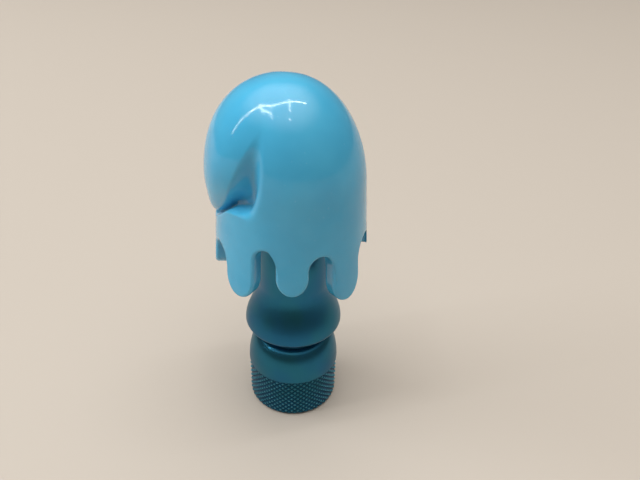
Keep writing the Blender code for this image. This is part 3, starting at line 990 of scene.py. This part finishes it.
washerEdge = 0.15 * mm
washers = dict(  # node, body, slot, finish, then both radii, bottom and top in mm
    seatWasher=("seat_washer", "seat", "acetal", plasticFinish, (4.0, 8.0, 4.1, 4.9)),
    thrustWasher=("thrust_washer", "handle", "acetal", plasticFinish, (5.3, 8.6, 60.3, 61.3)),
    retainingWasher=("retaining_washer", "handle", "steel", steelFinish, (2.3, 6.8, 75.3, 76.3)),
)
for name, (node, body, slotName, finish, sizes) in washers.items():
    corners = ringSection(*[size * mm for size in sizes])
    section = softCorners(corners, washerEdge, closed=True)
    washer = turnedObject(name, section, smallColumns, True)
    finish.on(addPiece(washer, body, slotName, node))

bush = dict(
    bore=5.3 * mm,
    radius=6.8 * mm,
    top=74.7 * mm,
    flange=8.0 * mm,
    flangeTop=62.8 * mm,
    bottom=61.6 * mm,
    edge=0.2 * mm,
)


def buildBush():
    b = bush
    corners = [
        (b["radius"], b["top"]),
        (b["radius"], b["flangeTop"]),
        (b["flange"], b["flangeTop"]),
        (b["flange"], b["bottom"]),
        (b["bore"], b["bottom"]),
        (b["bore"], b["top"]),
    ]
    section = softCorners(corners, b["edge"], closed=True)
    return turnedObject("swivelBush", section, smallColumns, True)


plasticFinish.on(addPiece(buildBush(), "head", "acetal", "swivel_bush"))

core = dict(
    radius=10.9 * mm,
    bore=7.1 * mm,
    bottom=61.6 * mm,
    top=81.0 * mm,
    flange=12.9 * mm,
    flangeBottom=71.5 * mm,
    flangeThickness=2.4 * mm,
    chamfer=1.0 * mm,
    edge=0.4 * mm,
    columns=192,
)


def buildCore():
    # the moulded core that the hood is glued to, with its flange
    c = core
    pocket = bush["flange"] + gap
    flangeTop = c["flangeBottom"] + c["flangeThickness"]
    corners = [
        (c["radius"] - c["chamfer"], c["top"]),
        (c["radius"], c["top"] - c["chamfer"]),
        (c["radius"], flangeTop),
        (c["flange"], flangeTop),
        (c["flange"], c["flangeBottom"]),
        (c["radius"], c["flangeBottom"]),
        (c["radius"], c["bottom"]),
        (pocket, c["bottom"]),
        (pocket, bush["flangeTop"] + gap),
        (c["bore"], bush["flangeTop"] + gap),
        (c["bore"], c["top"]),
    ]
    section = softCorners(corners, c["edge"], closed=True)
    return turnedObject("headCore", section, c["columns"], True)


coreFinish.on(addPiece(buildCore(), "head", "moulded_core", "head_core"))

screw = dict(
    radius=2.0 * mm,
    tip=66.6 * mm,
    headBottom=76.6 * mm,
    headTop=79.2 * mm,
    headRadius=3.6 * mm,
    flats=2.5 * mm,
    socketDepth=1.4 * mm,
    pitch=0.7 * mm,
    threadDepth=0.38 * mm,
    plainShank=(0.6 * mm, 0.7 * mm),  # down from the head: last corner, first thread row
    tipPlain=(0.4 * mm, 0.2 * mm),  # up from the tip: last thread row, end of the thread
    tipChamfer=0.35 * mm,
    edge=0.2 * mm,
    socketReach=1.1,  # the hexagon is cut this far out, as a share of half its flats
    nearFloor=0.01 * mm,
    threadRows=110,
    columns=96,
)


def buildScrew():
    # Socket floor and hexagonal wall, head, threaded shank. The socket's radius is half
    # its flats over the cosine of the angle from the nearest flat.
    s = screw
    corner = s["flats"] / 2.0
    floor = s["headTop"] - s["socketDepth"]
    head = softCorners(
        [
            (0.0, floor),
            (corner, floor),
            (corner, s["headTop"]),
            (s["headRadius"], s["headTop"]),
            (s["headRadius"], s["headBottom"]),
            (s["radius"], s["headBottom"]),
            (s["radius"], s["headBottom"] - s["plainShank"][0]),
        ],
        s["edge"],
    )
    threadTop = s["headBottom"] - s["plainShank"][1]
    shankRows = np.linspace(threadTop, s["tip"] + s["tipPlain"][0], s["threadRows"])
    shank = np.stack([np.full(len(shankRows), s["radius"]), shankRows], -1)
    tip = [(s["radius"] - s["tipChamfer"], s["tip"]), (0.0, s["tip"])]

    def relief(angle, radius, height):
        flat = (angle % (math.pi / 3.0)) - math.pi / 6.0
        inSocket = (radius < s["socketReach"] * corner) & (height > floor - s["nearFloor"])
        hexagon = radius * (1.0 - 1.0 / np.cos(flat))
        onShank = np.abs(radius - s["radius"]) < onSurface
        size = s["pitch"], s["threadDepth"]
        thread = threadCut(angle, height, *size, s["tip"] + s["tipPlain"][1], threadTop)
        return inSocket * hexagon + onShank * thread

    section = np.concatenate([head, shank, tip])
    return turnedObject("pivotScrew", section, s["columns"], relief=relief)


steelFinish.on(addPiece(buildScrew(), "handle", "steel", "pivot_screw"))
print("small pieces built")


studio = dict(
    floorColor=(0.47, 0.435, 0.39, 1.0),
    floorRoughness=0.6,
    floorSize=6.0,
    horizon=(0.17, 0.145, 0.115),
    zenith=(2.5, 2.35, 2.2),
    brightFrom=0.62,  # sine of the elevation where the sky starts to brighten
    lampHeight=1.2,
)
lamps = dict(  # power, where each starts and ends over the toy in lamp heights, and width
    ceilingStrip=(9.0, (1.10, -2.05), (-0.22, 0.48), 0.026),
    shortStripLeft=(1.0, (0.15, -0.40), (0.59, -0.295), 0.030),
    shortStripRight=(0.8, (-0.10, 0.05), (0.26, 0.17), 0.030),
    smallLamp=(0.12, (0.49, 0.238), (0.54, 0.238), 0.05),
)
softLeft = dict(power=7.5, size=(0.8, 0.6), place=(0.15, -1.20, 0.75), aim=(0.0, 0.0, 0.06))
view = dict(
    lens=32.625,
    sensor=36.0,
    clipStart=0.005,
    bearing=100.0,  # degrees
    pitch=32.54,
    roll=1.9,
    side=6.6 * mm,
    back=123.1 * mm,
    height=129.3 * mm,
)


def buildFloor():
    half = studio["floorSize"] / 2.0
    mesh = bpy.data.meshes.new("floor")
    corners = [(-half, -half, 0.0), (half, -half, 0.0), (half, half, 0.0), (-half, half, 0.0)]
    mesh.from_pydata(corners, [], [(0, 1, 2, 3)])
    floor = bpy.data.objects.new("floor", mesh)
    bpy.context.scene.collection.objects.link(floor)
    finish = Finish("paleFloor")
    finish.set(Base_Color=studio["floorColor"], Roughness=studio["floorRoughness"])
    finish.on(floor)


def addLight(name, power, size, placed):
    # a rectangle of light that shines along its own -Z
    light = bpy.data.lights.new(name, "AREA")
    light.shape = "RECTANGLE"
    light.size, light.size_y = size
    light.energy = power
    obj = bpy.data.objects.new(name, light)
    obj.matrix_world = placed
    bpy.context.scene.collection.objects.link(obj)
    return obj


def addLamp(name, power, start, end, width):
    # a level strip of light at lamp height above the toy, from one point to another
    height = studio["lampHeight"]
    start, end = np.array(start) * height, np.array(end) * height
    along = end - start
    x, y = ((start + end) / 2.0).tolist()
    place = Matrix.Translation((x, y, height + hood["top"]))
    turn = Matrix.Rotation(math.atan2(along[1], along[0]), 4, "Z")
    addLight(name, power, (float(np.linalg.norm(along)), width * height), place @ turn)


def addSoftLeft():
    # it shades the toy but isn't mirrored in it
    place = softLeft["place"]
    facing = (Vector(softLeft["aim"]) - Vector(place)).to_track_quat("-Z", "Y")
    placed = Matrix.Translation(place) @ facing.to_matrix().to_4x4()
    light = addLight("softLeft", softLeft["power"], softLeft["size"], placed)
    light.visible_glossy = False


def setWorld():
    # dim and warm round the sides, bright and neutral overhead
    world = bpy.data.worlds.new("softRoom")
    bpy.context.scene.world = world
    world.use_nodes = True
    tree = world.node_tree
    place = tree.nodes.new("ShaderNodeTexCoord")
    split = tree.nodes.new("ShaderNodeSeparateXYZ")
    ramp = tree.nodes.new("ShaderNodeValToRGB")
    ramp.color_ramp.interpolation = "EASE"
    low, high = ramp.color_ramp.elements
    low.color = (*studio["horizon"], 1.0)
    low.position = studio["brightFrom"]
    high.color = (*studio["zenith"], 1.0)
    tree.links.new(place.outputs["Generated"], split.inputs[0])
    tree.links.new(split.outputs["Z"], ramp.inputs["Fac"])
    tree.links.new(ramp.outputs["Color"], tree.nodes["Background"].inputs["Color"])


def addCamera():
    # the camera looks level along +Y, is pitched, rolled and moved, then swung round Z
    camera = bpy.data.cameras.new("camera")
    camera.lens = view["lens"]
    camera.sensor_width = view["sensor"]
    camera.clip_start = view["clipStart"]
    obj = bpy.data.objects.new("camera", camera)
    bearing = Matrix.Rotation(math.radians(view["bearing"]), 4, "Z")
    place = Matrix.Translation((view["side"], -view["back"], view["height"]))
    tilt = Matrix.Rotation(math.radians(90.0 - view["pitch"]), 4, "X")
    roll = Matrix.Rotation(math.radians(view["roll"]), 4, "Z")
    obj.matrix_world = bearing @ place @ tilt @ roll
    bpy.context.scene.collection.objects.link(obj)
    bpy.context.scene.camera = obj


buildFloor()
for name, values in lamps.items():
    addLamp(name, *values)
addSoftLeft()
setWorld()
addCamera()
bpy.context.scene.view_settings.view_transform = "Standard"
print("stage set")

bpy.context.view_layer.update()
